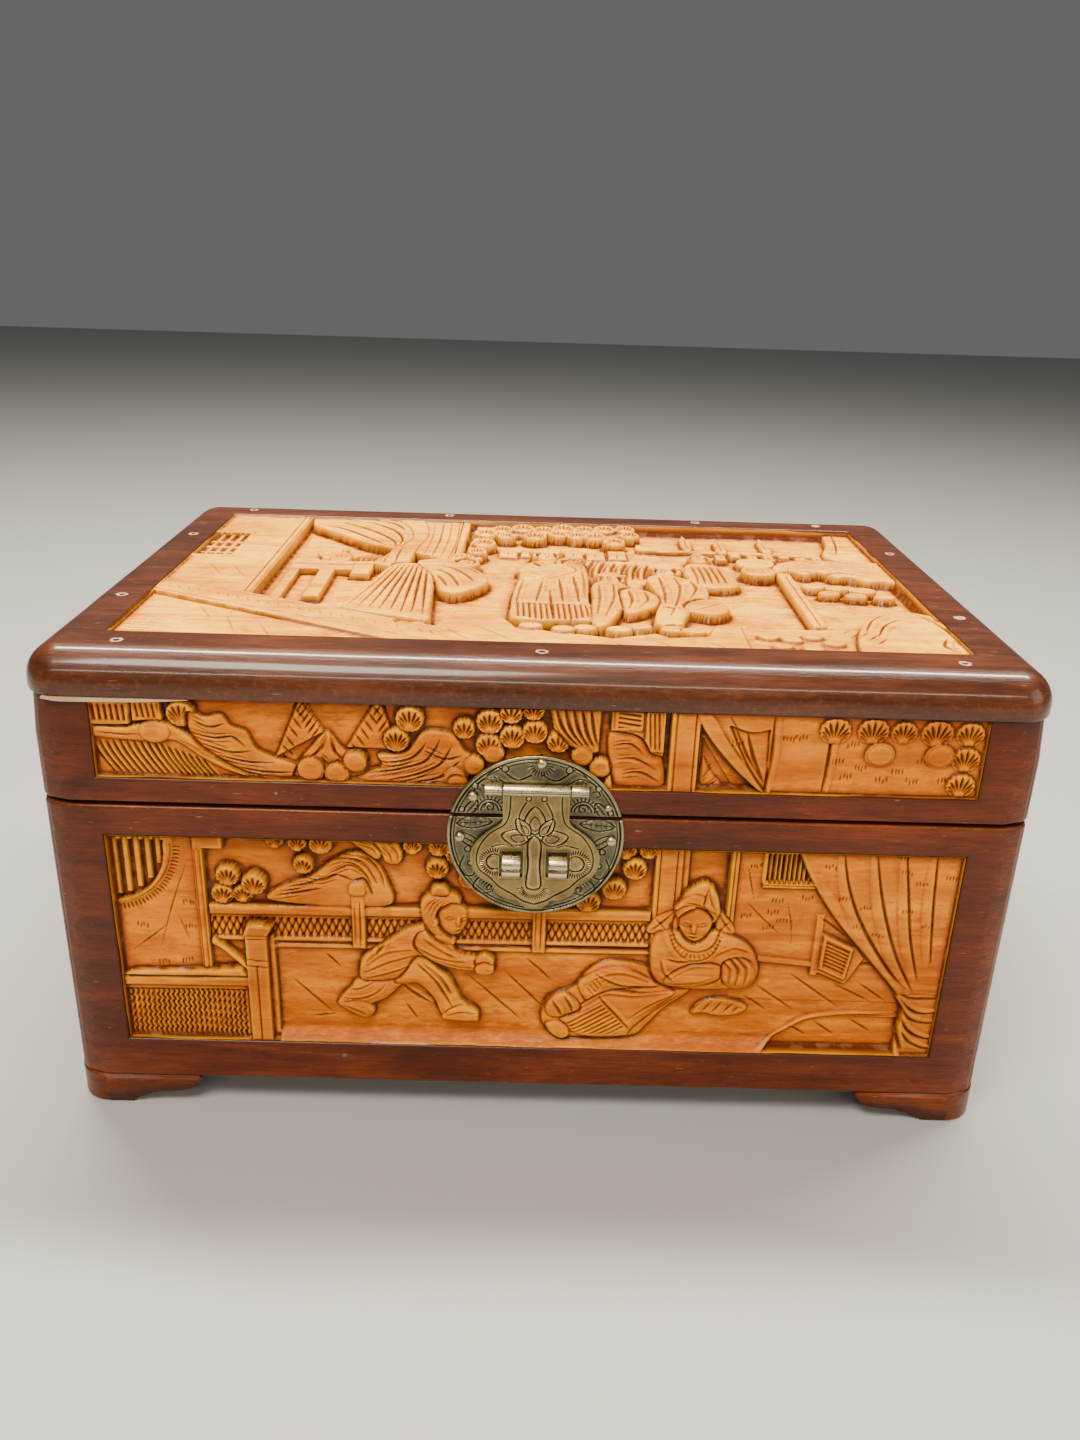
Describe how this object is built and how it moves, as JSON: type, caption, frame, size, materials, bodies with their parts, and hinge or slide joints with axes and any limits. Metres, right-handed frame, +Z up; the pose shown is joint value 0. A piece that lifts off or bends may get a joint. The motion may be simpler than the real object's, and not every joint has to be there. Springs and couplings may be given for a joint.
{
  "type": "carved jewelry box",
  "caption": "Carved camphor-wood jewelry box with bracket feet, a lid hinged at the back and a round brass hasp lock on the front.",
  "frame": {"origin": "middle of the box's footprint, on the surface that its feet stand on", "axes": "+X to the right of the lock, +Y to the back with the hinges, +Z up"},
  "size_m": [0.3, 0.2116, 0.158],
  "materials": {
    "frame_wood": "dark red-brown stain under semi-gloss varnish",
    "carved_wood": "honey-coloured carving with dark stained recesses, semi-gloss varnish",
    "bare_wood": "unvarnished light wood",
    "aged_brass": "aged brass, rubbed bright on the raised places",
    "steel": "dull steel nails and screws"
  },
  "bodies": {
    "body": {"body_front_wall": "carved_wood", "body_left_wall": "carved_wood", "body_right_wall": "carved_wood", "body_back_wall": "frame_wood", "bottom_board": "bare_wood", "foot_front_left": "frame_wood", "foot_front_right": "frame_wood", "foot_back_left": "frame_wood", "foot_back_right": "frame_wood", "lock_plate_lower": "aged_brass", "plate_nail_lower_left": "aged_brass", "plate_nail_lower_right": "aged_brass", "staple_left": "aged_brass", "staple_right": "aged_brass", "hinge_left_body_leaf": "aged_brass", "hinge_right_body_leaf": "aged_brass", "hinge_left_pin": "aged_brass", "hinge_right_pin": "aged_brass", "hinge_left_body_screw_1": "steel", "hinge_left_body_screw_2": "steel", "hinge_right_body_screw_1": "steel", "hinge_right_body_screw_2": "steel"},
    "lid": {"lid_front_wall": "carved_wood", "lid_left_wall": "carved_wood", "lid_right_wall": "carved_wood", "lid_back_wall": "frame_wood", "lid_top_board": "carved_wood", "lock_plate_upper": "aged_brass", "hasp_pin": "aged_brass", "plate_nail_top": "aged_brass", "plate_nail_upper_left": "aged_brass", "plate_nail_upper_right": "aged_brass", "hinge_left_lid_leaf": "aged_brass", "hinge_right_lid_leaf": "aged_brass", "top_nail_front_left": "steel", "top_nail_front_middle": "steel", "top_nail_front_right": "steel", "top_nail_back_left": "steel", "top_nail_back_middle_left": "steel", "top_nail_back_middle_right": "steel", "top_nail_back_right": "steel", "top_nail_left_front": "steel", "top_nail_left_back": "steel", "top_nail_right_front": "steel", "top_nail_right_back": "steel", "hinge_left_lid_screw_1": "steel", "hinge_left_lid_screw_2": "steel", "hinge_right_lid_screw_1": "steel", "hinge_right_lid_screw_2": "steel"},
    "hasp": {"hasp": "aged_brass"}
  },
  "joints": [
    {"name": "lid_hinge", "type": "hinge", "parent": "body", "child": "lid", "pos_m": [0, 0.1029, 0.1108], "axis": [-1, 0, 0], "range_deg": [0, 100]},
    {"name": "hasp_hinge", "type": "hinge", "parent": "lid", "child": "hasp", "pos_m": [-0.0004, -0.1029, 0.1203], "axis": [-1, 0, 0], "range_deg": [0, 165]}
  ]
}
